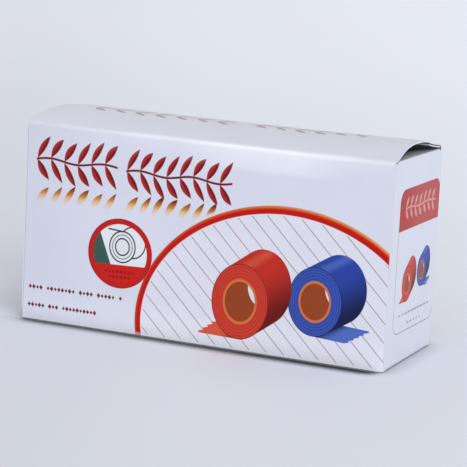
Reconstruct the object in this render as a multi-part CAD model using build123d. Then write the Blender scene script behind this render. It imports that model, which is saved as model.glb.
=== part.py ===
from build123d import *
import math
import os

os.makedirs("parts", exist_ok=True)

# ---------------------------------------------------------------- dimensions
# Carton, closed. +X runs along its length, the printed front faces -Y, +Z is up.
LENGTH = 190.0          # over the two end lids
DEPTH = 65.0            # front face to back face
HEIGHT = 98.0           # underside to the top creases
BOARD = 0.6             # thickness of the folding board
BOW = 6.5               # rise of the sprung top panel at its middle
CUT_GAP = 0.10          # gap left at each crease between two boards
LID_GAP = 0.25          # lid to the dust flaps behind it
LID_SIDE = 0.6          # lid edge to the carton's side faces
LID_DROP = 0.35         # lid's top crease below the top panel
TONGUE = 17.0           # depth of the tuck tongue
TONGUE_DROOP = 8.0      # degrees the tongue slopes down into the carton
TONGUE_SIDE = 2.2       # tongue edge inside the lid's edge
TONGUE_ROUND = 9.0      # rounding of the tongue's inner corners
FLAP = 30.0             # reach of a dust flap from its crease
FLAP_LOW = 1.4          # foot of a dust flap above the underside
FLAP_HIGH = 95.4        # head of a dust flap above the underside
FLAP_TAPER = 46.0       # degrees of the lower cut
FLAP_TOP_TAPER = 14.0   # degrees of the upper cut
GLUE = 15.0             # width of the glue flap
GLUE_GAP = 0.02         # glue line between the flap and the top panel

# Tape cutter, lying on the carton's bottom, blade towards -X.
SHIFT_X = -89.3         # cutter's own u = 0 in the carton's x
REST_Z = BOARD + 0.15   # cutter's own v = 0 in the carton's z
HUB_U, HUB_V = 132.0, 37.3
HUB_R = 37.0            # carries a 76 mm tape core
HUB_WALL = 2.6
HUB_NEAR, HUB_FAR = -25.0, 22.0
FLANGE_R = 41.0
WEB_T = 2.0             # side arm thickness, just inside the near cheek
CHEEK_T = 2.0
CHEEK_IN = 27.0         # inner face of each cheek from the middle
BAND_T = 2.2
BAND_W = 50.0
BAND_R = 55.7           # middle of the band over the tape roll
BAND_FOOT = (15.0, 46.2)
BAND_REAR = 58.0        # degrees above the horizon where the arch ends
BAND_TAIL = 11.0
LIP_R = 5.0
LIP_TURN = 48.0
LIP_ROLL = 2.2          # radius of the thick rolled edge
NOSE_T = 2.0
NOSE_TOP, NOSE_BEND, NOSE_LOW = (13.2, 44.0), (6.6, 34.5), (3.0, 13.5)
BLADE_T = 0.6
BLADE_W = 17.0
TOOTH_PITCH, TOOTH_DEPTH = 2.0, 1.5
CLAMP_T, CLAMP_W = 2.4, 8.0
TIE_R = 3.0
TIES = ((25.0, 38.6), (20.0, 23.0))
SCREW_R, SCREW_HEAD_R, SCREW_HEAD = 1.5, 2.8, 1.5
ROLLER_U, ROLLER_V = 35.0, 10.6
ROLLER_R, ROLLER_HALF = 9.0, 24.4
AXLE_R = 2.0
RUN_FIT = 0.05


def save(name, shape):
    shape.label = name
    export_step(shape, "parts/" + name + ".step")


def block(x0, x1, y0, y1, z0, z1):
    return Pos((x0 + x1) / 2, (y0 + y1) / 2, (z0 + z1) / 2) * Box(x1 - x0, y1 - y0, z1 - z0)


def face_xz(points):
    # flat outline in the X-Z plane at y = 0
    return Plane.XZ * make_face(Polyline(*points, close=True))


def rod(u, v, r, y0, y1):
    # round bar along Y in the cutter's own frame
    return Pos(u, (y0 + y1) / 2, v) * (Rot(90, 0, 0) * Cylinder(r, y1 - y0))


def slab(face, y0, y1):
    # a face in the X-Z plane, thickened from y0 to y1
    return Pos(0, y1, 0) * extrude(face, amount=y1 - y0, dir=(0, -1, 0))


# ------------------------------------------------------------------- carton
half_l, half_w = LENGTH / 2, DEPTH / 2
lid_in = half_l - BOARD
flap_out = lid_in - LID_GAP
side_end = flap_out - BOARD - CUT_GAP       # front and back panels
base_end = lid_in - CUT_GAP                 # bottom panel
top_end = half_l - 0.1                      # top panel
lid_crease = HEIGHT - BOARD - LID_DROP      # outer corner of the top fold

front = block(-side_end, side_end, -half_w, -half_w + BOARD, 0, HEIGHT)
front = fillet(front.edges().filter_by(Axis.X).group_by(Axis.Y)[0], 0.5)
save("front_panel", front)
back = block(-side_end, side_end, half_w - BOARD, half_w, 0, HEIGHT)
back = fillet(back.edges().filter_by(Axis.X).group_by(Axis.Y)[-1], 0.5)
save("back_panel", back)

inner_w = half_w - BOARD
save("bottom_panel", block(-base_end, base_end, -inner_w, inner_w, 0, BOARD))

# top panel: board sprung upwards in a shallow arch along its whole length
arch = make_face([
    Edge.make_three_point_arc((-inner_w, HEIGHT), (0, HEIGHT + BOW), (inner_w, HEIGHT)),
    Edge.make_line((inner_w, HEIGHT), (inner_w, HEIGHT - BOARD)),
    Edge.make_three_point_arc((inner_w, HEIGHT - BOARD), (0, HEIGHT + BOW - BOARD), (-inner_w, HEIGHT - BOARD)),
    Edge.make_line((-inner_w, HEIGHT - BOARD), (-inner_w, HEIGHT)),
])
save("top_panel", Pos(-top_end, 0, 0) * extrude(Plane.YZ * arch, amount=2 * top_end, dir=(1, 0, 0)))

# glue flap: folded in from the back panel's top crease, stuck under the top panel's rear edge
bow_r = (inner_w ** 2 + BOW ** 2) / (2 * BOW)
glue_y = (inner_w - 2.3 - GLUE, inner_w - 2.3)


def under_arch(y, drop):
    return (y, HEIGHT + BOW - bow_r + math.sqrt(bow_r ** 2 - y ** 2) - drop)


def glue_arc(y0, y1, drop):
    return Edge.make_three_point_arc(under_arch(y0, drop), under_arch((y0 + y1) / 2, drop), under_arch(y1, drop))


upper, lower = BOARD + GLUE_GAP, 2 * BOARD + GLUE_GAP
glue_face = make_face([
    glue_arc(glue_y[0], glue_y[1], upper),
    Edge.make_line(under_arch(glue_y[1], upper), under_arch(glue_y[1], lower)),
    glue_arc(glue_y[1], glue_y[0], lower),
    Edge.make_line(under_arch(glue_y[0], lower), under_arch(glue_y[0], upper)),
])
glue_end = top_end - 0.3
save("glue_flap", Pos(-glue_end, 0, 0) * extrude(Plane.YZ * glue_face, amount=2 * glue_end, dir=(1, 0, 0)))


def end_pieces(side, s):
    # lid, hinged on the bottom panel's end crease
    x0, x1 = sorted((s * lid_in, s * half_l))
    lid_y = half_w - LID_SIDE
    lid = block(x0, x1, -lid_y, lid_y, 0, lid_crease - BOARD - CUT_GAP)
    save(side + "_end_lid", lid)
    # tuck tongue, folded on the lid's top crease and sloping down into the carton
    root, reach = lid_y - TONGUE_SIDE, TONGUE
    tongue = Pos(reach / 2 + 0.1, 0, -BOARD / 2) * Box(reach, 2 * root, BOARD)
    tongue = fillet(tongue.edges().filter_by(Axis.Z).group_by(Axis.X)[-1], TONGUE_ROUND)
    tongue = Rot(0, TONGUE_DROOP, 0) * tongue
    if s > 0:
        tongue = Rot(0, 0, 180) * tongue
    save(side + "_tuck_tongue", Pos(s * half_l, 0, lid_crease) * tongue)
    # dust flaps, hinged on the front and back panels, folded in behind the lid
    x0, x1 = sorted((s * flap_out, s * (flap_out - BOARD)))
    low = FLAP_LOW + FLAP * math.tan(math.radians(FLAP_TAPER))
    high = FLAP_HIGH - (FLAP - 4) * math.tan(math.radians(FLAP_TOP_TAPER))
    for name, t in (("front", -1), ("rear", 1)):
        edge = t * half_w
        pts = [(edge, FLAP_LOW), (edge - t * FLAP, low), (edge - t * FLAP, high),
               (edge - t * 4, FLAP_HIGH), (edge, FLAP_HIGH)]
        outline = Plane.YZ * make_face(Polyline(*pts, close=True))
        flap = Pos(x0, 0, 0) * extrude(outline, amount=x1 - x0, dir=(1, 0, 0))
        free = flap.edges().filter_by(Axis.X).sort_by(lambda e: -t * e.center().Y)[-2:]
        save(side + "_" + name + "_dust_flap", fillet(free, 5.0))


end_pieces("right", 1)
end_pieces("left", -1)

# -------------------------------------------------------------- tape cutter
place = Pos(SHIFT_X, 0, REST_Z)


def save_cutter(name, shape):
    save(name, place * shape)


# hub and side arm: one moulding, open in the middle, roll goes on from the far side
hub = rod(HUB_U, HUB_V, HUB_R, HUB_NEAR, HUB_FAR)
hub = chamfer(hub.faces().sort_by(Axis.Y)[-1].edges(), 0.8)
arm_pts = [(14.5, 33.0), (17.0, 45.0), (30.0, 48.0), (104.0, 67.0), (HUB_U - 6, HUB_V + FLANGE_R - 4),
           (HUB_U, HUB_V), (HUB_U - 24, HUB_V - FLANGE_R + 10), (94.0, 22.0), (72.0, 29.0), (46.0, 29.0),
           (30.0, 24.0), (26.0, 15.0), (13.5, 15.0)]
arm = slab(face_xz(arm_pts), -CHEEK_IN, -CHEEK_IN + WEB_T)
arm = fillet(arm.edges().filter_by(Axis.Y).sort_by(lambda e: e.center().X)[2:6], 3.0)
rim = rod(HUB_U, HUB_V, FLANGE_R - 1.0, -CHEEK_IN, HUB_NEAR)
frame_part = arm + rim + hub
frame_part -= rod(HUB_U, HUB_V, HUB_R - HUB_WALL, -CHEEK_IN - 1, HUB_FAR + 1)
for u, v in TIES:
    frame_part -= rod(u, v, SCREW_R + RUN_FIT, -CHEEK_IN - 1, -CHEEK_IN + WEB_T + 1)
# the rim is cut level with the cheeks' feet, so the cutter stands on it
frame_part -= Pos(0, 0, -80) * Box(400, 200, 160)
save_cutter("hub_frame", frame_part)

# cover band: foot on the nose, straight rise, arch over the roll, tail with a rolled lip
fu, fv = BAND_FOOT
dist = math.hypot(HUB_U - fu, HUB_V - fv)
aim = math.atan2(HUB_V - fv, HUB_U - fu) + math.asin(BAND_R / dist)
t1 = math.pi / 2 + aim                       # polar angle of the first tangent point
t2 = math.radians(BAND_REAR)


def polar(a, r):
    return (HUB_U + r * math.cos(a), HUB_V + r * math.sin(a))


def band_side(off):
    # one skin of the band, off outwards from its middle
    n1 = (-math.sin(aim), math.cos(aim))
    p0 = (fu + n1[0] * off, fv + n1[1] * off)
    r = BAND_R + off
    p1, pm, p2 = polar(t1, r), polar((t1 + t2) / 2, r), polar(t2, r)
    d = (math.sin(t2), -math.cos(t2))        # downhill direction of the tail
    n = (math.cos(t2), math.sin(t2))
    p3 = (p2[0] + d[0] * BAND_TAIL, p2[1] + d[1] * BAND_TAIL)
    q = polar(t2, BAND_R)
    c = (q[0] + d[0] * BAND_TAIL + n[0] * LIP_R, q[1] + d[1] * BAND_TAIL + n[1] * LIP_R)
    rl = LIP_R - off
    a0 = math.atan2(-n[1], -n[0])
    am, a1 = a0 + math.radians(LIP_TURN) / 2, a0 + math.radians(LIP_TURN)
    pm2 = (c[0] + rl * math.cos(am), c[1] + rl * math.sin(am))
    p4 = (c[0] + rl * math.cos(a1), c[1] + rl * math.sin(a1))
    return p0, p1, pm, p2, p3, pm2, p4


o = band_side(BAND_T / 2)
i = band_side(-BAND_T / 2)
outline = make_face([
    Edge.make_line(o[0], o[1]), Edge.make_three_point_arc(o[1], o[2], o[3]),
    Edge.make_line(o[3], o[4]), Edge.make_three_point_arc(o[4], o[5], o[6]),
    Edge.make_line(o[6], i[6]), Edge.make_three_point_arc(i[6], i[5], i[4]),
    Edge.make_line(i[4], i[3]), Edge.make_three_point_arc(i[3], i[2], i[1]),
    Edge.make_line(i[1], i[0]), Edge.make_line(i[0], o[0]),
])
band = slab(Plane.XZ * outline, -BAND_W / 2, BAND_W / 2)
tip = ((o[6][0] + i[6][0]) / 2, (o[6][1] + i[6][1]) / 2)
band += rod(tip[0], tip[1], LIP_ROLL, -BAND_W / 2, BAND_W / 2)
# two grooves across the band just behind its foot
for along in (13.0, 17.0):
    gu, gv = fu + along * math.cos(aim), fv + along * math.sin(aim)
    band -= rod(gu - 1.9 * math.sin(aim), gv + 1.9 * math.cos(aim), 1.3, -BAND_W / 2 - 1, BAND_W / 2 + 1)
band_hole = Plane(origin=(fu + 5.5 * math.cos(aim), 0, fv + 5.5 * math.sin(aim)),
                  x_dir=(0, 1, 0), z_dir=(-math.sin(aim), 0, math.cos(aim)))
for y in (-16.0, 16.0):
    band -= band_hole * (Pos(y, 0, 0) * Cylinder(SCREW_R + RUN_FIT, 12))
save_cutter("cover_band", band)

# band seat: block under the band's foot, between the cheeks, tapped for its screws
seat = Pos(fu + 5.5 * math.cos(aim), 0, fv + 5.5 * math.sin(aim)) * (
    Rot(0, -math.degrees(aim), 0) * (Pos(0, 0, -BAND_T / 2 - 2.02) * Box(8.4, 2 * CHEEK_IN - 4.2, 4.0)))
for y in (-16.0, 16.0):
    seat -= band_hole * (Pos(y, 0, 0) * Cylinder(SCREW_R + RUN_FIT, 14))
save_cutter("band_seat", seat)

screws = []
for y in (-16.0, 16.0):
    head = Pos(y, 0, BAND_T / 2 + 0.02 + SCREW_HEAD / 2) * Cylinder(SCREW_HEAD_R, SCREW_HEAD)
    head = fillet(head.edges().sort_by(Axis.Z)[-1], 0.7)
    head -= Pos(y, 0, BAND_T / 2 + SCREW_HEAD) * Box(3.4, 0.7, 1.2)
    head -= Pos(y, 0, BAND_T / 2 + SCREW_HEAD) * Box(0.7, 3.4, 1.2)
    shank = Pos(y, 0, BAND_T / 2 + 0.02 - 2.9) * Cylinder(SCREW_R, 5.8)
    screws.append(band_hole * (head + shank))
save_cutter("band_screws", Compound(children=screws))

# nose plate: bent front of the head, between the cheeks
nose_pts = [NOSE_TOP, NOSE_BEND, NOSE_LOW]


def offset_pair(p, q, d):
    ln = math.hypot(q[0] - p[0], q[1] - p[1])
    nx, ny = -(q[1] - p[1]) / ln, (q[0] - p[0]) / ln
    return (p[0] + nx * d, p[1] + ny * d), (q[0] + nx * d, q[1] + ny * d)


def cross_pt(a, b, c, d):
    x1, y1, x2, y2 = *a, *b
    x3, y3, x4, y4 = *c, *d
    den = (x1 - x2) * (y3 - y4) - (y1 - y2) * (x3 - x4)
    m, k = x1 * y2 - y1 * x2, x3 * y4 - y3 * x4
    return ((m * (x3 - x4) - (x1 - x2) * k) / den, (m * (y3 - y4) - (y1 - y2) * k) / den)


def bent(d):
    a, b = offset_pair(NOSE_TOP, NOSE_BEND, d)
    c, e = offset_pair(NOSE_BEND, NOSE_LOW, d)
    return [a, cross_pt(a, b, c, e), e]


nose = slab(face_xz(bent(-NOSE_T / 2) + bent(NOSE_T / 2)[::-1]), -CHEEK_IN + 0.05 + WEB_T, CHEEK_IN - 0.05)
nose = fillet(nose.edges().filter_by(Axis.Y).sort_by(Axis.X)[0:1], 0.8)
# facet frame: across the tool, down the facet, into the tool
ln = math.hypot(NOSE_LOW[0] - NOSE_BEND[0], NOSE_LOW[1] - NOSE_BEND[1])
down = ((NOSE_LOW[0] - NOSE_BEND[0]) / ln, (NOSE_LOW[1] - NOSE_BEND[1]) / ln)
into = (-down[1], down[0])
facet = Plane(origin=(NOSE_LOW[0], 0, NOSE_LOW[1]), x_dir=(0, 1, 0), z_dir=(into[0], 0, into[1]))
sign = 1.0 if facet.y_dir.X * down[0] + facet.y_dir.Z * down[1] > 0 else -1.0
mid_y = (WEB_T + 0.0) / 2
bw = 2 * CHEEK_IN - WEB_T - 2.0
blade_z0 = NOSE_T / 2 + 0.02
clamp_z0 = blade_z0 + BLADE_T + 0.02
screw_y = -6.5 * sign
for y in (-15.0, 17.0):
    nose -= facet * (Pos(y, screw_y, 0) * Cylinder(SCREW_R + RUN_FIT, 2.0 * (NOSE_T / 2 - 0.6) + 20)) - facet * (Pos(0, 0, -NOSE_T / 2 - 10 + 0.6) * Box(200, 200, 20))
save_cutter("nose_plate", nose)

# serrated blade behind the nose, teeth below its lower edge
pts = [(-bw / 2, -BLADE_W * 0.62), (bw / 2, -BLADE_W * 0.62)]
n_teeth = int(bw / TOOTH_PITCH)
pitch = bw / n_teeth
for k in range(n_teeth):
    xr = bw / 2 - k * pitch
    pts += [(xr, BLADE_W * 0.38 - TOOTH_DEPTH), (xr - pitch / 2, BLADE_W * 0.38)]
pts += [(-bw / 2, BLADE_W * 0.38 - TOOTH_DEPTH)]
blade2d = make_face(Polyline(*[(mid_y + px, sign * py) for px, py in pts], close=True))
blade = Pos(0, 0, blade_z0) * extrude(blade2d, amount=BLADE_T, dir=(0, 0, 1))
clamp = Pos(mid_y, screw_y, clamp_z0 + CLAMP_T / 2) * Box(bw - 2, CLAMP_W, CLAMP_T)
clamp = fillet(clamp.edges().filter_by(Axis.Z), 1.5)
for y in (-15.0, 17.0):
    blade -= Pos(y, screw_y, 0) * Cylinder(SCREW_R + RUN_FIT, 20)
    clamp -= Pos(y, screw_y, 0) * Cylinder(SCREW_R + RUN_FIT, 20)
save_cutter("serrated_blade", facet * blade)
save_cutter("blade_clamp", facet * clamp)
screws = []
for y in (-15.0, 17.0):
    z = clamp_z0 + CLAMP_T + 0.02
    head = fillet((Pos(y, screw_y, z + SCREW_HEAD / 2) * Cylinder(SCREW_HEAD_R, SCREW_HEAD)).edges().sort_by(Axis.Z)[-1], 0.7)
    head -= Pos(y, screw_y, z + SCREW_HEAD) * Box(3.4, 0.7, 1.2)
    head -= Pos(y, screw_y, z + SCREW_HEAD) * Box(0.7, 3.4, 1.2)
    bottom = -NOSE_T / 2 + 0.75
    screws.append(facet * (head + Pos(y, screw_y, (z + bottom) / 2) * Cylinder(SCREW_R, z - bottom)))
save_cutter("blade_screws", Compound(children=screws))

# cheeks: side plates of the head with a waved foot
cheek_pts = [(13.6, 45.4), (20.0, 50.0), (30.0, 53.4), (35.5, 44.0), (40.5, 27.0), (45.6, 12.0), (44.6, 4.0), (38.0, 0.0),
             (30.0, 0.0), (25.0, 4.6), (19.0, 5.4), (14.0, 1.2), (7.0, 1.8), (2.4, 9.0), (2.4, 22.0), (5.0, 34.5)]
cheek2d = Plane.XZ * make_face(FilletPolyline(*cheek_pts, radius=2.2, close=True))
for name, y0, y1 in (("near_cheek", -CHEEK_IN - CHEEK_T, -CHEEK_IN), ("far_cheek", CHEEK_IN, CHEEK_IN + CHEEK_T)):
    cheek = slab(cheek2d, y0, y1)
    for u, v in TIES:
        cheek -= rod(u, v, SCREW_R + RUN_FIT, y0 - 1, y1 + 1)
    cheek -= rod(ROLLER_U, ROLLER_V, AXLE_R + RUN_FIT, y0 - 1, y1 + 1)
    slot = rod(15.0, 31.5, 2.4, y0 - 1, y1 + 1) + rod(24.0, 31.5, 2.4, y0 - 1, y1 + 1) + block(15.0, 24.0, y0 - 1, y1 + 1, 29.1, 33.9)
    cheek -= slot
    save_cutter(name, cheek)

# tie bars hold the cheeks and the side arm apart, one screw in each end
for name, (u, v) in zip(("upper_tie_bar", "lower_tie_bar"), TIES):
    bar = rod(u, v, TIE_R, -CHEEK_IN + WEB_T + 0.02, CHEEK_IN - 0.02)
    bar -= rod(u, v, SCREW_R + RUN_FIT, -CHEEK_IN, -CHEEK_IN + WEB_T + 9)
    bar -= rod(u, v, SCREW_R + RUN_FIT, CHEEK_IN - 9, CHEEK_IN)
    save_cutter(name, bar)
screws = []
for u, v in TIES:
    for s in (-1, 1):
        y_in = CHEEK_IN + CHEEK_T + 0.02
        lo, hi = sorted((s * y_in, s * (y_in + SCREW_HEAD)))
        head = rod(u, v, SCREW_HEAD_R, lo, hi)
        head = fillet(head.edges().sort_by(lambda e: s * e.center().Y)[-1], 0.7)
        head -= Pos(u, s * (y_in + SCREW_HEAD), v) * Box(3.4, 1.2, 0.7)
        head -= Pos(u, s * (y_in + SCREW_HEAD), v) * Box(0.7, 1.2, 3.4)
        tip_y = CHEEK_IN - 7.0
        lo, hi = sorted((s * tip_y, s * y_in))
        screws.append(head + rod(u, v, SCREW_R, lo, hi))
save_cutter("cheek_screws", Compound(children=screws))

# wiper roller on its axle pin, which has a head outside each cheek
axle = rod(ROLLER_U, ROLLER_V, AXLE_R, -CHEEK_IN - CHEEK_T - 0.02, CHEEK_IN + CHEEK_T + 0.02)
for s in (-1, 1):
    lo, hi = sorted((s * (CHEEK_IN + CHEEK_T + 0.02), s * (CHEEK_IN + CHEEK_T + 1.2)))
    cap = rod(ROLLER_U, ROLLER_V, 3.4, lo, hi)
    axle += fillet(cap.edges().sort_by(lambda e: s * e.center().Y)[-1], 0.6)
save_cutter("roller_axle", axle)
roller = rod(ROLLER_U, ROLLER_V, ROLLER_R, -ROLLER_HALF, ROLLER_HALF)
roller = chamfer(roller.edges().filter_by(GeomType.CIRCLE), 0.8)
roller -= rod(ROLLER_U, ROLLER_V, AXLE_R + RUN_FIT, -ROLLER_HALF - 1, ROLLER_HALF + 1)
save_cutter("wiper_roller", roller)
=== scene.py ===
import math

import bpy
import bmesh
import numpy as np
from mathutils import Matrix, Vector


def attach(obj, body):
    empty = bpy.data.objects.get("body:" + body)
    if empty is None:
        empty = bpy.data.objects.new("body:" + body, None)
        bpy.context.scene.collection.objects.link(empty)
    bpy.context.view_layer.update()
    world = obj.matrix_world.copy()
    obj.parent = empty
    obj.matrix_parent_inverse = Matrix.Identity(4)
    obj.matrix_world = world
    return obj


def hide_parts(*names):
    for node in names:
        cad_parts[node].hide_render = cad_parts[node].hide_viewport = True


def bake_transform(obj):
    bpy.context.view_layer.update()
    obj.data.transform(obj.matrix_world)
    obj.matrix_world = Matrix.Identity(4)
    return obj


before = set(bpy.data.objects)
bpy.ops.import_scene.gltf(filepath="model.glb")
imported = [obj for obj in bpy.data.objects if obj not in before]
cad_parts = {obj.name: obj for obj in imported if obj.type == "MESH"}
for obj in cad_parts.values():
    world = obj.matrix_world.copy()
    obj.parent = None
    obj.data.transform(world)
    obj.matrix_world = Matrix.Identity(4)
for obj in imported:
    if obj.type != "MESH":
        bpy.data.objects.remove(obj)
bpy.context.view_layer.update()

MM = 0.001
scene = bpy.context.scene
scene.view_settings.view_transform = "Standard"
scene.view_settings.look = "None"


def lin(r, g, b):
    """sRGB 0-255 to linear, for shader sockets"""
    out = []
    for c in (r, g, b):
        c /= 255.0
        out.append(c / 12.92 if c <= 0.04045 else ((c + 0.055) / 1.055) ** 2.4)
    return (*out, 1.0)


def smooth(t):
    t = np.clip(t, 0.0, 1.0)
    return t * t * (3 - 2 * t)


# ------------------------------------------------------------------ node maths
class V:
    """one float socket, with arithmetic that adds Math nodes"""

    def __init__(self, g, s):
        self.g, self.s = g, s

    def __add__(self, o): return self.g.m("ADD", self, o)
    def __radd__(self, o): return self.g.m("ADD", o, self)
    def __sub__(self, o): return self.g.m("SUBTRACT", self, o)
    def __rsub__(self, o): return self.g.m("SUBTRACT", o, self)
    def __mul__(self, o): return self.g.m("MULTIPLY", self, o)
    def __rmul__(self, o): return self.g.m("MULTIPLY", o, self)
    def __truediv__(self, o): return self.g.m("DIVIDE", self, o)
    def __neg__(self): return self.g.m("MULTIPLY", self, -1.0)
    def __abs__(self): return self.g.m("ABSOLUTE", self)
    def floor(self): return self.g.m("FLOOR", self)
    def sqrt(self): return self.g.m("SQRT", self)
    def pow(self, k): return self.g.m("POWER", self, k)
    def max(self, o): return self.g.m("MAXIMUM", self, o)
    def min(self, o): return self.g.m("MINIMUM", self, o)
    def sin(self): return self.g.m("SINE", self)


class G:
    """a small node-tree writer"""

    def __init__(self, name):
        self.mat = bpy.data.materials.new(name)
        self.mat.use_nodes = True
        self.t = self.mat.node_tree
        self.t.nodes.clear()
        self.out = self.t.nodes.new("ShaderNodeOutputMaterial")
        self.bsdf = self.t.nodes.new("ShaderNodeBsdfPrincipled")
        self.link(self.bsdf.outputs[0], self.out.inputs[0])
        coord = self.t.nodes.new("ShaderNodeTexCoord")
        self.obj = coord.outputs["Object"]
        scale = self.t.nodes.new("ShaderNodeVectorMath")
        scale.operation = "SCALE"
        self.link(self.obj, scale.inputs[0])
        scale.inputs["Scale"].default_value = 1000.0
        self.mm = scale.outputs[0]
        sep = self.t.nodes.new("ShaderNodeSeparateXYZ")
        self.link(self.mm, sep.inputs[0])
        self.x, self.y, self.z = (V(self, s) for s in sep.outputs)

    def link(self, a, b):
        self.t.links.new(a, b)

    def put(self, value, socket):
        if isinstance(value, V):
            self.link(value.s, socket)
        elif isinstance(value, bpy.types.NodeSocket):
            self.link(value, socket)
        else:
            socket.default_value = value

    def m(self, op, *a, clamp=False):
        n = self.t.nodes.new("ShaderNodeMath")
        n.operation, n.use_clamp = op, clamp
        for k, v in enumerate(a):
            self.put(v if isinstance(v, V) else float(v), n.inputs[k])
        return V(self, n.outputs[0])

    def ramp01(self, v, lo, hi, soft=False):
        """0 at lo, 1 at hi, held outside"""
        n = self.t.nodes.new("ShaderNodeMapRange")
        n.clamp = True
        n.interpolation_type = "SMOOTHSTEP" if soft else "LINEAR"
        self.put(v, n.inputs["Value"])
        n.inputs["From Min"].default_value = float(lo)
        n.inputs["From Max"].default_value = float(hi)
        n.inputs["To Min"].default_value = 0.0
        n.inputs["To Max"].default_value = 1.0
        return V(self, n.outputs["Result"])

    def inside(self, d, w=0.14):
        """mask of the region where a signed distance is negative"""
        return self.ramp01(d, w, -w)

    def mix(self, f, a, b, blend="MIX"):
        n = self.t.nodes.new("ShaderNodeMix")
        n.data_type = "RGBA"
        n.blend_type = blend
        n.clamp_factor = True
        self.put(f, n.inputs[0])
        self.put(a, n.inputs[6])
        self.put(b, n.inputs[7])
        return n.outputs[2]

    def noise(self, scale, detail=3.0, rough=0.5, vec=None, dist=0.0):
        """noise with the scale in cycles per mm"""
        n = self.t.nodes.new("ShaderNodeTexNoise")
        n.inputs["Scale"].default_value = scale
        n.inputs["Detail"].default_value = detail
        n.inputs["Roughness"].default_value = rough
        n.inputs["Distortion"].default_value = dist
        self.link(vec if vec is not None else self.mm, n.inputs["Vector"])
        return V(self, n.outputs[0])

    def bump(self, height, strength, distance, normal=None):
        n = self.t.nodes.new("ShaderNodeBump")
        n.inputs["Strength"].default_value = strength
        n.inputs["Distance"].default_value = distance
        self.put(height, n.inputs["Height"])
        if normal is not None:
            self.link(normal, n.inputs["Normal"])
        return n.outputs[0]

    def set(self, **kw):
        for k, v in kw.items():
            self.put(v, self.bsdf.inputs[k.replace("_", " ")])
        return self.mat

    # signed distances in mm
    def circle(self, x, z, cx, cz, r):
        a, b = x - cx, z - cz
        return (a * a + b * b).sqrt() - r

    def box(self, x, z, cx, cz, hx, hz, r=0.0):
        qx, qz = abs(x - cx) - (hx - r), abs(z - cz) - (hz - r)
        a, b = qx.max(0.0), qz.max(0.0)
        return (a * a + b * b).sqrt() + qx.max(qz).min(0.0) - r

    def capsule(self, x, z, ax, az, bx, bz, r):
        px, pz = x - ax, z - az
        dx, dz = bx - ax, bz - az
        h = self.m("DIVIDE", px * dx + pz * dz, dx * dx + dz * dz, clamp=True)
        u, v = px - h * dx, pz - h * dz
        return (u * u + v * v).sqrt() - r


# ---------------------------------------------------------------- printed motifs
# one white board in a tone for each face, with painted light and shade: the top is painted darker and the long sides a
# little lighter than the ends
PAPER = (0.716, 0.731, 0.838, 1.0)
PAPER_END = (0.690, 0.722, 0.812, 1.0)
PAPER_TOP_SHADED = (0.655, 0.671, 0.776, 1.0)


def laurel(g, x, z, x0, x1, cells, zc, long, wide, tilt, wave):
    """signed distances of a row of paired leaves on a waved stem: (leaves, stem, which half of the leaf)"""
    pitch = (x1 - x0) / cells
    u = (x - x0) / pitch
    k = u.floor()
    rise = z - zc - (u * math.pi * 0.5).sin() * wave
    c, s = math.cos(math.radians(tilt)), math.sin(math.radians(tilt))
    r = abs(rise)
    cx = (u - k) * pitch - 0.4
    along = (cx * c + r * s - long * 0.52) / (long * 0.5)
    off = cx * -s + r * c
    leaf = abs(off + (along * along - 1.0) * wide * 0.14) - (1.0 - along * along) * (wide * 0.5)
    ends = abs(x - (x0 + x1) / 2) - (x1 - x0) / 2
    return leaf.max(ends), (r - 0.55).max(ends), off + (along * along - 1.0) * wide * 0.14


def tape_roll(g, col, x, z, cx, cz, R, sq, dx, dz, tail, hue, dark, light, core, wall, paper):
    """a roll of tape in three-quarter view with a loose end; returns the colour socket"""
    X, Z = (x - cx) / sq, z - cz
    DX = dx / sq
    # loose end, spanned by the roll's width and the tail direction
    tx, tz = tail
    px, pz = x - cx, z - (cz - R)
    det = dx * tz - dz * tx
    a = (px * tz - pz * tx) / det
    b = (pz * dx - px * dz) / det
    saw = abs(a * 5.0 - (a * 5.0).floor() - 0.5) * 0.16
    strip = abs(a - 0.5).max(abs(b - 0.5 + saw)) - 0.5
    col = g.mix(g.inside(strip, 0.012), col, g.mix(g.ramp01(b, 0.0, 0.5, True), dark, light))
    # wound body
    body = g.capsule(X, Z, 0.0, 0.0, DX, dz, R)
    n = math.hypot(DX, dz)
    across = (X * (-dz / n) + Z * (DX / n)) / R
    shade = g.mix(g.ramp01(across, -0.9, 0.35, True), dark, hue)
    shade = g.mix(g.ramp01(abs(across - 0.72), 0.22, 0.0, True) * 0.75, shade, light)
    col = g.mix(g.inside(body), col, shade)
    # end face with its wound layers, core and bore
    rr = (X * X + Z * Z).sqrt()
    rings = (rr * (2 * math.pi / (R * 0.085))).sin() * 0.5 + 0.5
    face = g.mix(rings * 0.45, hue, light)
    col = g.mix(g.inside(rr - R), col, face)
    col = g.mix(g.inside(abs(rr - R * 0.985) - 0.16), col, dark)
    col = g.mix(g.inside(rr - R * 0.60), col, core)
    col = g.mix(g.inside(rr - R * 0.53), col, wall)
    through = (rr - R * 0.53).max(g.circle(X, Z, DX, dz, R * 0.53))
    col = g.mix(g.inside(through), col, paper)
    return col


BLUE, NAVY, SKY = lin(40, 66, 158), lin(14, 26, 72), lin(78, 108, 190)
RED, DEEP, CORAL = lin(192, 44, 32), lin(104, 16, 14), lin(214, 84, 62)
ORANGE, RUST = lin(214, 116, 52), lin(150, 66, 28)
INK_RED = lin(176, 22, 20)
MAROON = lin(118, 34, 46)


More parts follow.
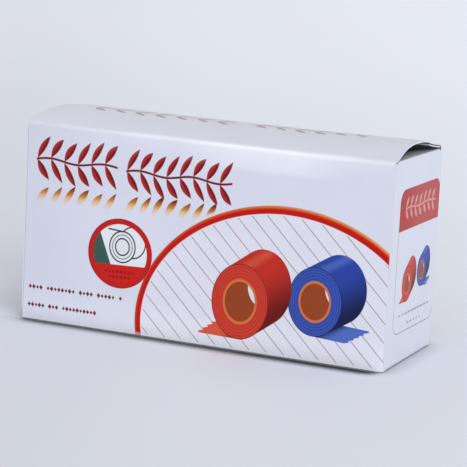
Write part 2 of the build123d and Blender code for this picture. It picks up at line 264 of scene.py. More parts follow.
def front_print(g, x, z):
    """print of the long side: x to the right, z up, in mm; returns the colour socket"""
    col = PAPER
    # big arc and the pinstripes inside it
    ax, az = abs(x - 42.56) / 75.08, abs(z - 9.08) / 60.62
    f = (ax.pow(1.966) + az.pow(1.966)).pow(1 / 1.966)
    gx, gz = (x - 42.56) * (1 / 75.08 ** 2), (z - 9.08) * (1 / 60.62 ** 2)
    d = (f - 1.0) * f / (gx * gx + gz * gz).sqrt().max(0.00001)
    half_band = (x + 32.0) * 0.0044 + 1.52
    inner = d + half_band
    col = g.mix(g.inside(inner, 0.3) * 0.45, col, (0.80, 0.806, 0.905, 1.0))
    u = (x + z) * 0.70711 - 0.85
    k = (u / 6.27 + 0.5).floor()
    line = abs(u - k * 6.27) - 0.19
    fence = line.max(inner + 0.7).max(x - 94.3).max(1.0 - z)
    hue = g.t.nodes.new("ShaderNodeValToRGB")
    hue.color_ramp.interpolation = "CONSTANT"
    stops = [(0.0, lin(142, 132, 92)), (0.2, lin(186, 112, 98)), (0.4, lin(140, 132, 132)), (0.6, lin(176, 130, 106)), (0.8, lin(158, 142, 96))]
    for n, (p, c) in enumerate(stops):
        e = hue.color_ramp.elements[n] if n < 2 else hue.color_ramp.elements.new(p)
        e.position, e.color = p, c
    pick = k * 0.4 + 0.1
    g.link((pick - pick.floor()).s, hue.inputs[0])
    col = g.mix(g.inside(fence, 0.1), col, hue.outputs[0])
    # the band: red, paling to orange and yellow on its outer edge towards the right
    right = g.ramp01(x, -45.0, 55.0, True)
    w = d / half_band
    tone = g.mix(g.ramp01(w, 0.0, 0.8, True) * (right * 0.6 + 0.4), lin(193, 12, 2), lin(212, 84, 20))
    tone = g.mix(g.ramp01(w, 0.45, 1.25) * g.ramp01(x, -25.0, 110.0) * 0.88, tone, lin(240, 204, 138))
    band = (d - half_band * (right * 0.22 + 1.0)).max(-inner)
    col = g.mix(g.inside(band, 0.2), col, tone)
    # two rolls of tape
    col = tape_roll(g, col, x, z, 58.5, 28.5, 16.5, 0.82, 12.0, 7.4, (17.0, -1.2), BLUE, NAVY, SKY, ORANGE, RUST, PAPER)
    col = tape_roll(g, col, x, z, 20.5, 23.6, 18.2, 0.80, 11.5, 8.4, (-22.0, 0.6), RED, DEEP, CORAL, ORANGE, RUST, PAPER)
    # round badge with a line-drawn roll
    bx, bz = x + 43.5, z - 38.9
    br = (bx * bx + bz * bz).sqrt()
    col = g.mix(g.inside(br - 17.1), col, lin(230, 234, 240))
    green = (br - 14.9).max((bx * 13.0 + bz * 5.2 + 92.0) * 0.07)
    col = g.mix(g.inside(green), col, lin(58, 88, 80))
    rx, rz = bx - 1.2, bz - 3.4
    e1 = ((rx * rx) * 1.25 + rz * rz).sqrt()
    sx, sz = rx - 5.4, rz - 2.6
    e2 = ((sx * sx) * 1.25 + sz * sz).sqrt()
    col = g.mix(g.inside(abs(e2 - 7.6) - 0.36), col, lin(46, 58, 68))
    col = g.mix(g.inside(e1 - 7.9), col, lin(226, 231, 238))
    col = g.mix(g.inside((abs(e1 - 7.6)).min(abs(e1 - 4.1)).min(abs(e1 - 5.9) + 0.17) - 0.36), col, lin(40, 52, 62))
    col = g.mix(g.inside(g.capsule(bx, bz, -6.4, 11.6, 1.2, 11.0, 0.36)), col, lin(40, 52, 62))
    col = g.mix(g.inside((br - 16.0).max(bz - bx * 0.03 + 5.6)), col, lin(203, 28, 20))
    for zc, ha in ((-9.0, 7.6), (-11.6, 5.6)):
        ub = bx * 0.48
        tick = ((abs(ub - ub.floor() - 0.5) - 0.31) * 2.0).max(abs(bz - zc - bx * 0.02) - 0.55).max(abs(bx) - ha)
        col = g.mix(g.inside(tick) * 0.75, col, lin(122, 8, 14))
    col = g.mix(g.inside(abs(br - 15.75) - 1.36), col, lin(195, 24, 22))
    col = g.mix(g.inside(abs(br - 16.85) - 0.28) * 0.5, col, lin(128, 8, 22))
    # laurel in two groups, and its fading mirror image below
    mirror = 137.6 - z
    fall = g.ramp01(z, 59.4, 64.4)
    zz = g.m("MAXIMUM", z, mirror)
    low = g.inside(z - 68.8, 0.05)
    leaf1, stem1, h1 = laurel(g, x, zz, -90.6, -46.6, 6, 80.4, 12.4, 3.3, 58.0, 0.9)
    leaf2, stem2, h2 = laurel(g, x, zz, -42.0, 13.6, 8, 79.4, 12.0, 3.2, 58.0, 0.9)
    first = g.inside(x + 44.6, 0.1)
    leaf, stem = leaf1.min(leaf2), stem1.min(stem2) + low * 9.0
    half = h1 * first + h2 * (1.0 - first)
    ink = g.mix(g.ramp01(half, -0.35, 0.35), lin(120, 16, 26), lin(178, 36, 26))
    ink = g.mix(g.ramp01(leaf, -0.5, -0.1) * 0.8, ink, lin(116, 18, 30))
    under = g.mix(g.ramp01(z, 62.4, 67.4), lin(238, 170, 66), lin(122, 28, 8))
    ink = g.mix(low, ink, under)
    veil = (1.0 - low * (1.0 - fall)) * g.ramp01(d - half_band, 0.6, 2.2) * (1.0 - low * g.ramp01(x, 5.6, 6.4))
    col = g.mix(g.inside(leaf.min(stem), 0.16) * veil, col, ink)
    # two rows of small lozenges, in uneven groups
    for zc, xa, xb, step, gaps in ((16.8, -92.6, -41.2, 1.98, (4, 13, 18, 24)), (7.8, -92.8, -55.0, 1.90, (5, 9))):
        uu = (x - xa) / step
        kk = uu.floor()
        size = (kk * 2.4).sin() * 0.16 + 1.0
        loz = abs(uu - kk - 0.5) * (step * 0.80) + abs(z - zc) * 0.62 - size * 0.70
        for k0 in gaps:
            loz = loz.max(0.4 - abs(kk - float(k0)))
        loz = loz.max(abs(x - (xa + xb) / 2) - (xb - xa) / 2)
        col = g.mix(g.inside(loz, 0.14), col, MAROON)
    return col


def end_print(g, y, z):
    """print of an end lid: y to the right, z up"""
    col = PAPER_END
    frame_d = g.box(y, z, 3.9, 49.65, 28.1, 34.45, 6.6)
    col = g.mix(g.inside(abs(frame_d + 0.16) - 0.17, 0.1), col, lin(112, 104, 124))
    head = frame_d.max(64.6 - z)
    col = g.mix(g.inside(head), col, g.mix(g.ramp01(y, -24.0, 12.0, True), lin(176, 30, 26), lin(182, 66, 64)))
    leaf, stem, t = laurel(g, y, z, -16.5, 26.5, 7, 74.6, 6.6, 2.3, 54.0, 0.4)
    col = g.mix(g.inside(leaf.min(stem + 0.1)) * 0.62, col, lin(226, 184, 172))
    col = tape_roll(g, col, y, z, 12.0, 41.5, 7.8, 0.82, 5.6, 3.4, (8.0, -0.6), BLUE, NAVY, SKY, ORANGE, RUST, PAPER_END)
    col = tape_roll(g, col, y, z, -8.0, 38.0, 8.6, 0.80, 5.6, 4.0, (-10.5, 0.3), RED, DEEP, CORAL, ORANGE, RUST, PAPER_END)
    for zc, ya, yb, step, phase in ((23.7, -17.9, 25.0, 4.4, 0.3), (18.7, -5.7, 16.5, 4.2, 0.7)):
        uu = (y - ya) / step
        kk = uu.floor()
        h = (kk * 12.9898 + phase * 40.0).sin() * 0.14 + 0.30
        dash = ((abs(uu - kk - 0.5) - h) * step).max(abs(z - zc) - 0.5)
        dash = dash.max(abs(y - (ya + yb) / 2) - (yb - ya) / 2)
        col = g.mix(g.inside(dash) * 0.8, col, lin(140, 136, 150))
    return col


def top_print(g, x, y):
    """print of the top panel: thin pale sprigs in two groups"""
    col = PAPER_TOP_SHADED
    for x0, x1, n, yc in ((-73.0, 4.0, 7, -6.5), (12.5, 73.5, 6, -6.0)):
        leaf, stem, t = laurel(g, x, y, x0, x1, n, yc, 11.0, 3.0, 40.0, 0.8)
        ink = g.mix(g.ramp01(t, -0.6, 0.6), lin(112, 88, 110), lin(164, 114, 126))
        col = g.mix(g.inside(leaf.min(stem + 0.25)) * 0.72, col, ink)
    return col


def askew(x, z):
    """print register on the long sides: a shade to the right of the sheet's middle and turned by a fifth of a degree"""
    return x * 1.00373 - z * 0.00322 - 0.7094, z * 1.00278 - x * 0.0033 - 0.2093


def askew_end(y, z):
    return y * 0.9975 - z * 0.00185 - 0.72, z * 1.00289 + y * 0.01404 + 0.131


def askew_top(x, y):
    return x * 0.99952 + y * -0.02327 + 2.6951, y * 1.05911 + x * -0.01005 - 8.4350


def board(name, kind):
    """coated carton board, printed on one face"""
    g = G(name)
    if kind == "front":
        col = front_print(g, *askew(g.x, g.z))
    elif kind == "back":
        col = front_print(g, *askew(-g.x, g.z))
    elif kind == "right":
        col = end_print(g, *askew_end(g.y, g.z))
    elif kind == "left":
        col = end_print(g, *askew_end(-g.y, g.z))
    elif kind == "top":
        col = top_print(g, *askew_top(g.x, g.y))
    else:
        col = PAPER_END
    # faint mottling of the sheet, rubbed creases with a painted highlight, painted light and shade on the long sides,
    # and handling marks
    blotch = g.noise(0.035, 3.0, 0.55)
    fibre = g.noise(1.6, 4.0, 0.65)
    col = g.mix(g.ramp01(blotch, 0.35, 0.75, True) * 0.6, col, (0.955, 0.955, 0.965, 1.0), "MULTIPLY")
    col = g.mix(g.ramp01(fibre, 0.55, 0.8) * 0.5, col, (0.955, 0.955, 0.955, 1.0), "MULTIPLY")
    ey = g.m("ABSOLUTE", abs(g.y) - 32.1)
    ez = g.m("MINIMUM", abs(g.z - 98.0), abs(g.z))
    ex = abs(abs(g.x) - 94.6)
    long_crease = ey.max(ez)
    crease = long_crease.min(ey.max(ex)).min(ez.max(ex) + 0.4)
    # whitening along the long creases, partly rubbed wear and partly a painted highlight
    crease_rub_and_highlight = g.ramp01(long_crease, 2.4, 0.3, True) * (g.ramp01(g.noise(0.05, 3.0, 0.6), 0.30, 0.62, True) * 0.5 + 0.5)
    col = g.mix(crease_rub_and_highlight * 0.6, col, (0.86, 0.87, 0.955, 1.0))
    # painted shade: the long top creases are darkened towards both ends, dimming their highlight there
    wear_and_painted_shade = g.ramp01(long_crease, 3.0, 0.5, True) * g.ramp01(abs(g.x - 15.0), 52.0, 68.0, True) * g.ramp01(g.z, 88.0, 94.0, True)
    col = g.mix(wear_and_painted_shade, col, (0.90, 0.90, 0.91, 1.0), "MULTIPLY")
    if kind in ("front", "back"):
        # painted highlight: a broad sheen below the top crease of each long side
        sheen = g.ramp01(g.z, 86.5, 96.8, True) * g.ramp01(abs(g.x - (25.0 if kind == "front" else -25.0)), 125.0, 20.0, True)
        col = g.mix(sheen * 0.38, col, (0.845, 0.855, 0.95, 1.0))
        sx = g.x if kind == "front" else -g.x
        # painted highlight: a bright patch a little below the top crease
        painted_glare_patch = g.ramp01(g.z, 85.0, 88.6, True) * g.ramp01(abs(sx - 29.0), 46.0, 14.0, True)
        col = g.mix(painted_glare_patch, col, (1.13, 1.125, 1.08, 1.0), "MULTIPLY")
        # painted shade: darker towards the left end of each long side, which also dims the crease highlight there
        col = g.mix(g.ramp01(sx, -50.0, -88.0, True), col, (0.945, 0.945, 0.95, 1.0), "MULTIPLY")
        # painted light: the long sides are brightened towards their foot
        painted_foot_light = g.ramp01(g.z, 22.0, 1.0, True)
        col = g.mix(painted_foot_light, col, (1.13, 1.13, 1.12, 1.0), "MULTIPLY")
    scuff = g.ramp01(crease, 0.9, 0.0) * g.ramp01(g.noise(0.9, 3.0, 0.6), 0.60, 0.72)
    col = g.mix(scuff * 0.22, col, lin(176, 176, 186))
    rough = g.noise(0.12, 3.0, 0.6) * 0.14 + 0.27
    wave = g.noise(0.022, 2.0, 0.5)
    n1 = g.bump(wave, 0.35, 0.0012)
    n2 = g.bump(fibre, 0.10, 0.00006, n1)
    g.bsdf.inputs["Specular IOR Level"].default_value = 0.18
    return g.set(Base_Color=col, Roughness=rough, Normal=n2, IOR=1.5)


def board_inside(name):
    g = G(name)
    fibre = g.noise(0.9, 6.0, 0.7)
    speck = g.noise(2.3, 2.0, 0.6)
    col = g.mix(g.ramp01(fibre, 0.35, 0.7), lin(140, 139, 137), lin(166, 164, 160))
    col = g.mix(g.ramp01(speck, 0.66, 0.74) * 0.5, col, lin(104, 101, 98))
    rough = fibre * 0.15 + 0.72
    return g.set(Base_Color=col, Roughness=rough, Normal=g.bump(fibre, 0.35, 0.00012), IOR=1.45)


def board_edge(name):
    g = G(name)
    ply = g.noise(5.0, 3.0, 0.6)
    col = g.mix(g.ramp01(ply, 0.35, 0.7), lin(216, 217, 226), lin(230, 231, 240))
    return g.set(Base_Color=col, Roughness=ply * 0.2 + 0.7, Normal=g.bump(ply, 0.4, 0.0001))


def plastic(name, main, deep, pale, gloss):
    """moulded plastic: flow marks, fine texture, rubbed edges and light scratches"""
    g = G(name)
    flow = g.noise(0.05, 3.0, 0.55, dist=0.6)
    grain = g.noise(3.0, 3.0, 0.6)
    col = g.mix(g.ramp01(flow, 0.3, 0.72, True), deep, main)
    geo = g.t.nodes.new("ShaderNodeNewGeometry")
    point = V(g, geo.outputs["Pointiness"])
    wear_and_painted_shade = g.ramp01(point, 0.60, 0.72) * g.ramp01(g.noise(0.25, 3.0, 0.6), 0.35, 0.6)
    col = g.mix(wear_and_painted_shade * 0.45, col, pale)
    stretch = g.t.nodes.new("ShaderNodeMapping")
    stretch.inputs["Scale"].default_value = (0.12, 1.6, 0.5)
    stretch.inputs["Rotation"].default_value = (0.3, 0.5, 0.2)
    g.link(g.mm, stretch.inputs["Vector"])
    scratch = g.ramp01(g.noise(1.4, 2.0, 0.5, stretch.outputs[0]), 0.66, 0.72)
    col = g.mix(scratch * 0.09, col, pale)
    rough = grain * 0.08 + gloss + wear_and_painted_shade * 0.1 + scratch * 0.06
    return g.set(Base_Color=col, Roughness=rough, Normal=g.bump(grain, 0.10, 0.00005), IOR=1.49)


def steel(name, main, dark, axis, rough0):
    """metal with a ground or plated finish"""
    g = G(name)
    stretch = g.t.nodes.new("ShaderNodeMapping")
    stretch.inputs["Scale"].default_value = axis
    g.link(g.mm, stretch.inputs["Vector"])
    brush = g.noise(3.0, 4.0, 0.6, stretch.outputs[0])
    stain = g.noise(0.12, 4.0, 0.6)
    col = g.mix(g.ramp01(brush, 0.3, 0.7), dark, main)
    col = g.mix(g.ramp01(stain, 0.58, 0.8) * 0.4, col, dark)
    rough = brush * 0.18 + rough0 + g.ramp01(stain, 0.55, 0.8) * 0.12
    return g.set(Base_Color=col, Roughness=rough, Metallic=1.0, Normal=g.bump(brush, 0.2, 0.00004))


def rubber(name):
    g = G(name)
    grind = g.noise(1.8, 5.0, 0.65)
    dust = g.noise(0.09, 4.0, 0.6)
    col = g.mix(g.ramp01(dust, 0.45, 0.75), lin(52, 52, 55), lin(88, 87, 88))
    col = g.mix(g.ramp01(grind, 0.6, 0.8) * 0.3, col, lin(116, 115, 114))
    return g.set(Base_Color=col, Roughness=grind * 0.15 + 0.72, Normal=g.bump(grind, 0.4, 0.00015))


M = {
    "front": board("board_front", "front"),
    "back": board("board_back", "back"),
    "top": board("board_top", "top"),
    "right": board("board_right_end", "right"),
    "left": board("board_left_end", "left"),
    "plain": board("board_plain", "plain"),
    "inside": board_inside("board_inside"),
    "edge": board_edge("board_cut_edge"),
    "orange_plastic": plastic("orange_plastic", lin(226, 108, 40), lin(205, 88, 28), lin(242, 170, 120), 0.28),
    "blue_plastic": plastic("blue_plastic", lin(36, 70, 160), lin(26, 54, 134), lin(128, 150, 206), 0.26),
    "dark_plastic": plastic("dark_plastic", lin(32, 42, 66), lin(22, 30, 50), lin(96, 106, 128), 0.36),
    "blade_steel": steel("blade_steel", lin(196, 198, 202), lin(150, 152, 158), (1.0, 0.06, 1.0), 0.22),
    "plated_steel": steel("plated_steel", lin(206, 205, 200), lin(168, 166, 160), (1.0, 1.0, 1.0), 0.28),
    "grey_rubber": rubber("grey_rubber"),
}

# ------------------------------------------------------------------ mesh helper
def solid(name, outer, inner, mats, loop=False):
    """closed sheet between two grids of points in mm. mats gives slots for
    outer faces (a name, or a function of the column), inner faces and cut edges."""
    O, I = np.asarray(outer, float), np.asarray(inner, float)
    nu, nv = O.shape[:2]
    n = nu * nv
    verts = np.concatenate([O.reshape(-1, 3), I.reshape(-1, 3)]) * MM
    out_of, in_of, edge_of = mats
    pick = out_of if callable(out_of) else (lambda j: out_of)
    rim = edge_of if callable(edge_of) else (lambda j: edge_of)
    names, faces, slots = [], [], []

    def add(face, slot):
        if slot not in names:
            names.append(slot)
        faces.append(face)
        slots.append(names.index(slot))

    a = lambda i, j: i * nv + j % nv
    b = lambda i, j: n + i * nv + j % nv
    last = nv if loop else nv - 1
    for i in range(nu - 1):
        for j in range(last):
            add((a(i, j), a(i + 1, j), a(i + 1, j + 1), a(i, j + 1)), pick(j))
            add((b(i, j), b(i, j + 1), b(i + 1, j + 1), b(i + 1, j)), in_of)
    for j in range(last):
        add((a(0, j), a(0, j + 1), b(0, j + 1), b(0, j)), rim(j))
        add((a(nu - 1, j + 1), a(nu - 1, j), b(nu - 1, j), b(nu - 1, j + 1)), rim(j))
    if not loop:
        for i in range(nu - 1):
            add((a(i + 1, 0), a(i, 0), b(i, 0), b(i + 1, 0)), rim(0))
            add((a(i, nv - 1), a(i + 1, nv - 1), b(i + 1, nv - 1), b(i, nv - 1)), rim(nv - 1))
    me = bpy.data.meshes.new(name)
    me.from_pydata([tuple(v) for v in verts], [], faces)
    for s in names:
        me.materials.append(M[s])
    me.polygons.foreach_set("material_index", slots)
    bm = bmesh.new()
    bm.from_mesh(me)
    bmesh.ops.recalc_face_normals(bm, faces=bm.faces)
    bm.to_mesh(me)
    bm.free()
    me.shade_smooth()
    me.set_sharp_from_angle(angle=math.radians(48))
    ob = bpy.data.objects.new(name, me)
    scene.collection.objects.link(ob)
    return ob


# ------------------------------------------------------------- carton dimensions
HALF_D, HEIGHT, T = 32.5, 98.0, 0.6
X_SIDE, X_TOP, X_BASE = 93.70, 94.9, 93.0    # where each long panel stops
R_TOP, R_LOW = 2.2, 0.5                     # outer rounding of the long creases
R_LID, R_FLAP, R_FOLD = 2.0, 0.66, 0.30
X_FLAP = 94.36


def crest(x):
    """rise of the sprung top panel along the carton"""
    xs = [-95, -86, -70, -50, -10, 25, 50, 70, 95]
    hs = [4.1, 5.1, 4.95, 4.9, 4.85, 4.95, 4.95, 4.9, 4.9]
    return np.interp(x, xs, hs)


RIGHT_Y = np.array([-31.9, -29.8, -24.5, -19.6, -11.2, -4.5, 2.1, 8.0, 12.5, 17.1, 22.0, 31.9])
RIGHT_Z = np.array([0.30, 1.30, 3.50, 5.00, 6.30, 6.38, 6.15, 5.55, 4.80, 3.60, 2.75, 1.20])


def through(xs, ys, x):
    """smooth curve through points"""
    m = np.gradient(ys, xs)
    k = np.clip(np.searchsorted(xs, x) - 1, 0, len(xs) - 2)
    h = xs[k + 1] - xs[k]
    t = np.clip((x - xs[k]) / h, 0.0, 1.0)
    return ((1 + 2 * t) * (1 - t) ** 2 * ys[k] + t * (1 - t) ** 2 * h * m[k]
            + t * t * (3 - 2 * t) * ys[k + 1] + t * t * (t - 1) * h * m[k + 1])


def top_z(x, y):
    """height of the top panel's outer face above the creases: an even bow,
    steeper at the front and lifted at the rear towards the right end"""
    v = np.clip(y / 31.9, -1.0, 1.0)
    even = crest(x) * (1 - v * v)
    s = smooth((x - 30.0) / 58.0)
    return even * (1 - s) + through(RIGHT_Y, RIGHT_Z, np.clip(y, -31.9, 31.9)) * s


def lift(x, y, z):
    """the bottom panel bellies out, so its creases stand just clear of the floor"""
    y, x = np.abs(y), np.abs(x)
    away = 0.12 * smooth((y - 15.0) / 17.5)
    ends = 0.40 * smooth((x - 70.0) / 23.0) * smooth((32.6 - y) / 5.0)
    return np.maximum(away, ends) * (1 - smooth(z / 14.0))


def draw_in(x, z):
    """how far the long sides are drawn in between their creases"""
    band = np.sin(math.pi * np.clip(z / HEIGHT, 0, 1)) * np.cos(math.pi * np.clip(x / 187.0, -0.5, 0.5))
    return band * (0.35 + 0.12 * np.sin(x * 0.055 + 0.7))


def fillet(cy, cz, r, a0, a1, n):
    return [(cy + r * math.cos(math.radians(a)), cz + r * math.sin(math.radians(a)))
            for a in np.linspace(a0, a1, n)]


# one section of the sleeve: front up, over the top, down the back, along the base
tags, sec = [], []


def run(points, tag, reach):
    for p in points:
        sec.append((*p, reach))
        tags.append(tag)


zs = np.linspace(R_LOW + 0.3, HEIGHT - R_TOP - 0.3, 22)
ys = np.linspace(-HALF_D + R_TOP + 0.3, HALF_D - R_TOP - 0.3, 36)
yb = np.linspace(HALF_D - R_LOW - 0.3, -HALF_D + R_LOW + 0.3, 12)
run([(-HALF_D, z) for z in zs], "front", X_SIDE)
run(fillet(-HALF_D + R_TOP, HEIGHT - R_TOP, R_TOP, 180, 135, 5), "front", X_TOP - 0.5)
run(fillet(-HALF_D + R_TOP, HEIGHT - R_TOP, R_TOP, 124, 90, 4), "top", X_TOP - 0.5)
run([(y, HEIGHT) for y in ys], "top", X_TOP)
run(fillet(HALF_D - R_TOP, HEIGHT - R_TOP, R_TOP, 90, 56, 4), "top", X_TOP - 0.5)
run(fillet(HALF_D - R_TOP, HEIGHT - R_TOP, R_TOP, 45, 0, 5), "back", X_TOP - 0.5)
run([(HALF_D, z) for z in zs[::-1]], "back", X_SIDE)
run(fillet(HALF_D - R_LOW, R_LOW, R_LOW, 0, -45, 4), "back", X_SIDE)
run(fillet(HALF_D - R_LOW, R_LOW, R_LOW, -56, -90, 3), "plain", X_BASE)
run([(y, 0.0) for y in yb], "plain", X_BASE)
run(fillet(-HALF_D + R_LOW, R_LOW, R_LOW, -90, -124, 3), "plain", X_BASE)
run(fillet(-HALF_D + R_LOW, R_LOW, R_LOW, -135, -180, 4), "front", X_SIDE)
sec = np.array(sec)


def bend(x, y, z, inset):
    """the carton's slight unevenness: sprung top, and sides drawn in a little between their creases"""
    onto_top = smooth((z - (HEIGHT - R_TOP - 0.01)) / R_TOP)
    z2 = z + top_z(x, np.clip(y, -31.9, 31.9)) * onto_top + lift(x, y, z)
    side = np.where(np.abs(y) > HALF_D - 2.2, np.sign(y), 0.0)
    y2 = y - side * draw_in(x, z) * (1 - onto_top)
    return y2, z2


s_end = np.concatenate([np.linspace(-1, -0.90, 8), np.linspace(-0.86, 0.86, 40), np.linspace(0.90, 1, 8)])
O = np.zeros((len(s_end), len(sec), 3))
I = np.zeros_like(O)
for i, s in enumerate(s_end):
    x = s * sec[:, 2]
    y, z = bend(x, sec[:, 0], sec[:, 1], 0)
    ring = np.stack([y, z], -1)
    tan = np.roll(ring, -1, 0) - np.roll(ring, 1, 0)
    tan /= np.linalg.norm(tan, axis=1)[:, None]
    nrm = np.stack([tan[:, 1], -tan[:, 0]], -1)      # points inwards on this winding
    O[i] = np.stack([x, y, z], -1)
    q = ring + nrm * T
    I[i] = np.stack([x, q[:, 0], q[:, 1]], -1)
sleeve = solid("carton_sleeve", O, I, (lambda j: tags[j] if tags[j] == tags[(j + 1) % len(tags)] or tags[j] != "plain" else "plain", "inside", lambda j: "edge" if tags[j] == "top" else "inside"), loop=True)
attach(sleeve, "carton")
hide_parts("front_panel", "back_panel", "top_panel", "bottom_panel")

# glue flap under the top panel's rear edge, coming a little away from it at the right end
O, I = [], []
ys = np.linspace(14.6, 29.5, 20)
for x in np.concatenate([np.linspace(-94.5, 60, 40), np.linspace(63, 94.6, 14)]):
    away = T + 0.04 + 0.44 * smooth((x - 55.0) / 38.0)
    z = HEIGHT + top_z(x + 0 * ys, ys)
    one = np.ones_like(ys)
    O.append(np.stack([x * one, ys, z - away], -1))
    I.append(np.stack([x * one, ys, z - away - T], -1))
seam = solid("glue_flap_board", O, I, ("plain", "inside", "edge"))
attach(seam, "carton")
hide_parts("glue_flap")

# --------------------------------------------------------------------- end boards
LID_Y, LID_LOW, LID_TOP = 32.4, R_LID, 96.2
TONGUE_Y, TONGUE_L, TONGUE_R = 29.7, 16.2, 9.0
DROOP = math.radians(3.5)
R_TUCK = 0.9


def mirror(P, s):
    P = np.array(P, float)
    P[..., 0] *= s
    return P


for side, s, slope in (("right", 1, 0.68), ("left", -1, 0.15)):
    shear = lambda y: slope * (1 - np.asarray(y) / 31.9)
    # lid: flat board, free top corners rounded, barely hollow in the middle
    nz = np.concatenate([np.linspace(LID_LOW, 8, 6), np.linspace(12, 90, 20), np.linspace(92, LID_TOP, 8)])
    nu = np.linspace(-1, 1, 33)
    O, I = [], []
    for z in nz:
        half = LID_Y - 0.7 * (1 - smooth((z - LID_LOW) / 5.0)) - 1.0 * smooth((z - 94.4) / (LID_TOP - 94.4)) ** 2
        hollow = 0.02 * math.sin(math.pi * (z - LID_LOW) / (LID_TOP - LID_LOW))
        y = nu * half
        x = 95.0 - hollow * (1 - 0.4 * nu ** 2)
        zz = z + shear(y) * smooth((z - 50.0) / 44.0) + lift(95.0, y, z)
        O.append(np.stack([x, y, zz], -1))
        I.append(np.stack([x - T, y, zz], -1))
    lid = solid(side + "_lid_board", mirror(O, s), mirror(I, s), (side, "inside", "edge"))
    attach(lid, side + "_lid")
    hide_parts(side + "_end_lid")
    # crease to the bottom panel
    O, I = [], []
    for a in np.linspace(-90, 0, 15):
        c, d = math.sqrt(abs(math.cos(math.radians(a)))), -math.sqrt(abs(math.sin(math.radians(a))))
        y = nu * (LID_Y - 0.7)
        one = np.ones_like(y)
        zo = (R_LID + R_LID * d) * one
        O.append(np.stack([(95 - R_LID + R_LID * c) * one, y, zo + lift(95.0, y, zo)], -1))
        zi = (R_LID + (R_LID - T) * d) * one
        I.append(np.stack([(95 - R_LID + (R_LID - T) * c) * one, y, zi + lift(95.0, y, zo)], -1))
    crease = solid(side + "_lid_crease", mirror(O, s), mirror(I, s), ("plain", "inside", "edge"))
    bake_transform(crease)
    # crease to the tuck tongue
    O, I = [], []
    for a in np.linspace(0, 98, 11):
        c, d = math.cos(math.radians(a)), math.sin(math.radians(a))
        y = nu * TONGUE_Y
        one = np.ones_like(y)
        O.append(np.stack([(95 - R_TUCK + R_TUCK * c) * one, y, LID_TOP + R_TUCK * d + shear(y)], -1))
        I.append(np.stack([(95 - R_TUCK + (R_TUCK - T) * c) * one, y, LID_TOP + (R_TUCK - T) * d + shear(y)], -1))
    fold = solid(side + "_tongue_crease", mirror(O, s), mirror(I, s), ("plain", "inside", "edge"))
    (O[-1][0][2] - shear(-TONGUE_Y) + slope) * MM
    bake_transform(fold)
    ex, ez = O[-1][0][0], LID_TOP + R_TUCK * math.sin(math.radians(98))
    # tongue: rounded inner corners, curling down a little towards its free edge
    O, I = [], []
    for v in np.concatenate([np.linspace(0, TONGUE_L - TONGUE_R, 7), TONGUE_L - TONGUE_R + TONGUE_R * np.sin(np.linspace(0.12, math.pi / 2, 11))]):
        over = max(0.0, v - (TONGUE_L - TONGUE_R))
        half = TONGUE_Y - (TONGUE_R - math.sqrt(max(TONGUE_R ** 2 - over ** 2, 0.0)))
        turn = DROOP + math.radians(5.0) * (v / TONGUE_L) ** 2
        y = nu * half
        one = np.ones_like(y)
        px, pz = ex - math.cos(turn) * v, ez - math.sin(turn) * v
        O.append(np.stack([px * one, y, pz + shear(y)], -1))
        I.append(np.stack([(px + T * math.sin(turn)) * one, y, pz - T * math.cos(turn) + shear(y)], -1))
    tongue = solid(side + "_tongue_board", mirror(O, s), mirror(I, s), ("plain", "inside", "edge"))
    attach(tongue, side + "_tongue")
    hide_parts(side + "_tuck_tongue")
    # dust flaps, folded in behind the lid
    for place, f in (("front", -1), ("rear", 1)):
        O, I = [], []
        reach = np.concatenate([np.linspace(R_FLAP + 0.03, 4, 4), np.linspace(6, 25, 10), 25 + 5 * np.sin(np.linspace(0.15, math.pi / 2, 9))])
        t = np.linspace(0, 1, 29)
        for r in reach:
            lo = 1.4 + r * 31.07 / 30.0
            hi = 95.4 - max(0.0, r - 4) * 6.48 / 26.0
            over = max(0.0, r - 25.0)
            cut = 5.0 - math.sqrt(max(25.0 - over ** 2, 0.0))
            lo, hi = lo + cut, hi - cut
            z = lo + (hi - lo) * t
            one = np.ones_like(z)
            curl = 0.25 * (r / 30.0) ** 2
            O.append(np.stack([(X_FLAP - curl) * one, f * (HALF_D - r) * one, z], -1))
            I.append(np.stack([(X_FLAP - curl - T) * one, f * (HALF_D - r) * one, z], -1))
        flap = solid(f"{side}_{place}_flap_board", mirror(O, s), mirror(I, s), ("plain", "inside", "edge"))
        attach(flap, f"{side}_{place}_flap")
        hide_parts(f"{side}_{place}_dust_flap")
        O, I = [], []
        lo, hi = 0.45, 95.9
        line = [((X_SIDE, HALF_D), (X_SIDE - 0.04, HALF_D - T))]
        for a in np.linspace(90, 0, 9):
            c, d = math.cos(math.radians(a)), math.sin(math.radians(a))
            line.append(((X_FLAP - R_FOLD + R_FOLD * c, HALF_D - R_FOLD + R_FOLD * d),
                         (X_FLAP - T - 0.04 + 0.04 * c, HALF_D - T - 0.04 + 0.04 * d)))
        line.append(((X_FLAP, HALF_D - R_FLAP), (X_FLAP - T, HALF_D - R_FLAP - 0.03)))
        for (xo, yo), (xi, yi) in line:
            z = lo + (hi - lo) * t
            one = np.ones_like(z)
            O.append(np.stack([xo * one, f * yo * one, z], -1))
            I.append(np.stack([xi * one, f * yi * one, z], -1))
        strip = solid(f"{side}_{place}_flap_crease", mirror(O, s), mirror(I, s), ("front" if f < 0 else "back", "inside", "inside"))
        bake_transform(strip)

# ------------------------------------------------------- finishes on the CAD nodes
finish_of = {
    "hub_frame": "orange_plastic", "nose_plate": "orange_plastic", "cover_band": "blue_plastic",
    "near_cheek": "dark_plastic", "far_cheek": "dark_plastic", "band_seat": "dark_plastic",
    "serrated_blade": "blade_steel", "blade_clamp": "plated_steel", "band_screws": "plated_steel",
    "blade_screws": "plated_steel", "cheek_screws": "plated_steel", "upper_tie_bar": "plated_steel",
    "lower_tie_bar": "plated_steel", "roller_axle": "plated_steel", "wiper_roller": "grey_rubber",
}
for node, key in finish_of.items():
    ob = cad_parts[node]
    if not ob.material_slots:
        ob.data.materials.append(M[key])
    for sl in ob.material_slots:
        sl.material = M[key]

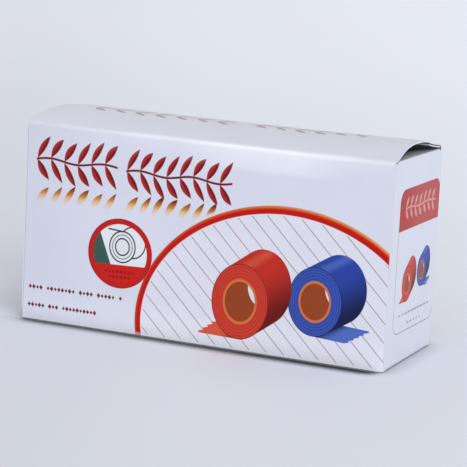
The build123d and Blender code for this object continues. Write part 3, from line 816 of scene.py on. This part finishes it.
# ----------------------------------------------------------------- floor and light
g = G("floor_paper")
tone = g.noise(0.004, 3.0, 0.5)
grain = g.noise(0.8, 3.0, 0.6)
col = g.mix(g.ramp01(tone, 0.3, 0.7, True), (0.722, 0.754, 0.846, 1.0), (0.738, 0.770, 0.860, 1.0))
# painted light and shade on the floor: lighter towards the back and to the right, darker to the left of the carton
col = g.mix(g.ramp01(g.y, 60.0, 1300.0, True), col, (0.836, 0.868, 0.972, 1.0))
col = g.mix(g.ramp01(g.x + g.y * 0.5, 60.0, 420.0, True) * 0.7, col, (0.885, 0.916, 1.0, 1.0))
depth = g.y * 0.9187 - g.x * 0.395
bearing = (g.x * 0.9187 + g.y * 0.395) / (depth + 1122.0).max(200.0)
col = g.mix(g.ramp01(bearing, 0.01, -0.10, True) * g.ramp01(depth, -750.0, -280.0, True), col, (0.93, 0.93, 0.935, 1.0), "MULTIPLY")
# painted contact shadow: ambient occlusion darkens the floor close to the carton, most along the front long side, and
# the floor's specular level drops there too
near = g.t.nodes.new("ShaderNodeAmbientOcclusion")
near.inputs["Distance"].default_value = 0.0118
near.samples = 8
seen = g.ramp01(V(g, near.outputs["AO"]), 0.54, 1.0, True)
deep = g.ramp01(g.x, -95.0, 60.0, True) * g.ramp01(g.x, 95.0, 84.0, True)
long_side = g.ramp01(g.y, -31.0, -34.0, True) * g.ramp01(g.x, 97.0, 89.0, True)
painted_contact_shadow = (1.0 - seen * (1.0 - deep + seen * seen * deep)) * (long_side * 0.73 + g.ramp01(g.y, 31.0, 34.0, True) * 0.3 + 0.27)
col = g.mix(painted_contact_shadow, col, (0.02, 0.021, 0.026, 1.0))
g.link(((1.0 - painted_contact_shadow) * 0.5).s, g.bsdf.inputs["Specular IOR Level"])
g.set(Base_Color=col, Roughness=grain * 0.1 + 0.6, Normal=g.bump(grain, 0.05, 0.00005))
bm = bmesh.new()
bmesh.ops.create_circle(bm, cap_ends=True, segments=96, radius=9.0)
me = bpy.data.meshes.new("floor")
bm.to_mesh(me)
bm.free()
me.materials.append(g.mat)
floor = bpy.data.objects.new("floor", me)
floor.location = (0, 0, -0.00006)
scene.collection.objects.link(floor)

world = bpy.data.worlds.new("studio")
scene.world = world
world.use_nodes = True
back = world.node_tree.nodes["Background"]
back.inputs["Color"].default_value = (1.0, 1.0, 1.0, 1.0)
back.inputs["Strength"].default_value = 0.645


def sun(name, towards, energy, angle):
    d = bpy.data.lights.new(name, "SUN")
    d.energy = energy
    d.angle = math.radians(angle)
    o = bpy.data.objects.new(name, d)
    o.rotation_euler = (-Vector(towards)).to_track_quat("-Z", "Y").to_euler()
    scene.collection.objects.link(o)


sun("key_right", (0.22, -0.18, 0.12), 1.08, 45)
sun("over_front", (0.28, -0.42, 1.1), 0.55, 25)

# ------------------------------------------------------------------------- camera
AZ, EL, ROLL = (math.radians(v) for v in (23.268, 10.9683, 2.8902))
DIST, FOCAL = 1.121563, 2309.5168
bk = Vector((math.sin(AZ) * math.cos(EL), -math.cos(AZ) * math.cos(EL), math.sin(EL)))
rt = Vector((math.cos(AZ), math.sin(AZ), 0.0))
up = bk.cross(rt)
r2 = rt * math.cos(ROLL) + up * math.sin(ROLL)
u2 = up * math.cos(ROLL) - rt * math.sin(ROLL)
data = bpy.data.cameras.new("camera")
data.sensor_width = 36.0
data.sensor_fit = "HORIZONTAL"
data.lens = 36.0 * FOCAL / 467.0
data.shift_x = 4.7406 / 467.0
data.shift_y = -0.1931 / 467.0
data.clip_start, data.clip_end = 0.05, 60.0
cam = bpy.data.objects.new("camera", data)
cam.matrix_world = Matrix(((r2.x, u2.x, bk.x, bk.x * DIST),
                           (r2.y, u2.y, bk.y, bk.y * DIST),
                           (r2.z, u2.z, bk.z, bk.z * DIST + 0.049),
                           (0, 0, 0, 1)))
scene.collection.objects.link(cam)
scene.camera = cam
